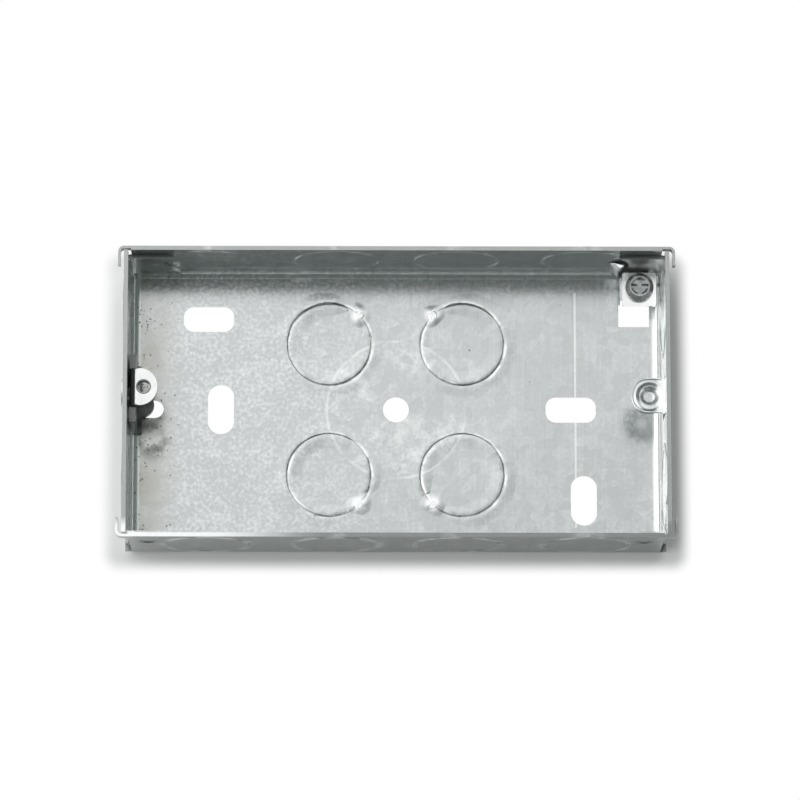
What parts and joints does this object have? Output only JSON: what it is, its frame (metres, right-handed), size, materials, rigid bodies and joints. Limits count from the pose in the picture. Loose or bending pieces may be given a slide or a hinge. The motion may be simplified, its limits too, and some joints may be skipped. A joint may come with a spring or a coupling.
{
  "type": "flush back box",
  "caption": "Shallow folded steel back box for flush wiring accessories, with sheared knockouts, fixing slots, a fixed lug, a sliding levelling lug and an earth terminal.",
  "frame": {"origin": "centre of the rear face of the back plate, with the box lying on its back", "axes": "+X along the box towards the fixed lug, +Y across the box towards the earth terminal, +Z out of the open front"},
  "size_m": [0.1328, 0.0702, 0.025],
  "materials": {
    "galvanised_sheet": "hot-dip zinc coat with faint spangle",
    "plated_lug": "bright zinc plate",
    "plated_rivet": "bright zinc plate",
    "plated_clamp": "bright zinc plate",
    "plated_screw": "bright zinc plate"
  },
  "bodies": {
    "box": {"back_box": "galvanised_sheet"},
    "levelling_lug": {"adjustable_lug": "plated_lug", "lug_rivet": "plated_rivet"},
    "terminal_clamp": {"earth_clamp": "plated_clamp"},
    "terminal_screw": {"earth_screw": "plated_screw"}
  },
  "joints": [
    {"name": "lug_slide", "type": "slide", "parent": "box", "child": "levelling_lug", "axis": [0, 1, 0], "range_m": [-0.005, 0.001]},
    {"name": "clamp_lift", "type": "slide", "parent": "box", "child": "terminal_clamp", "axis": [0, 0, 1], "range_m": [0, 0.0028]},
    {"name": "screw_turn", "type": "hinge", "parent": "terminal_clamp", "child": "terminal_screw", "pos_m": [0.0587, 0.02855, 0.0098], "axis": [0, 0, 1], "range_deg": [0, 1441]}
  ],
  "couplings": [
    {"joint": "screw_turn", "follows": "clamp_lift", "rad_per_m": 8976}
  ]
}
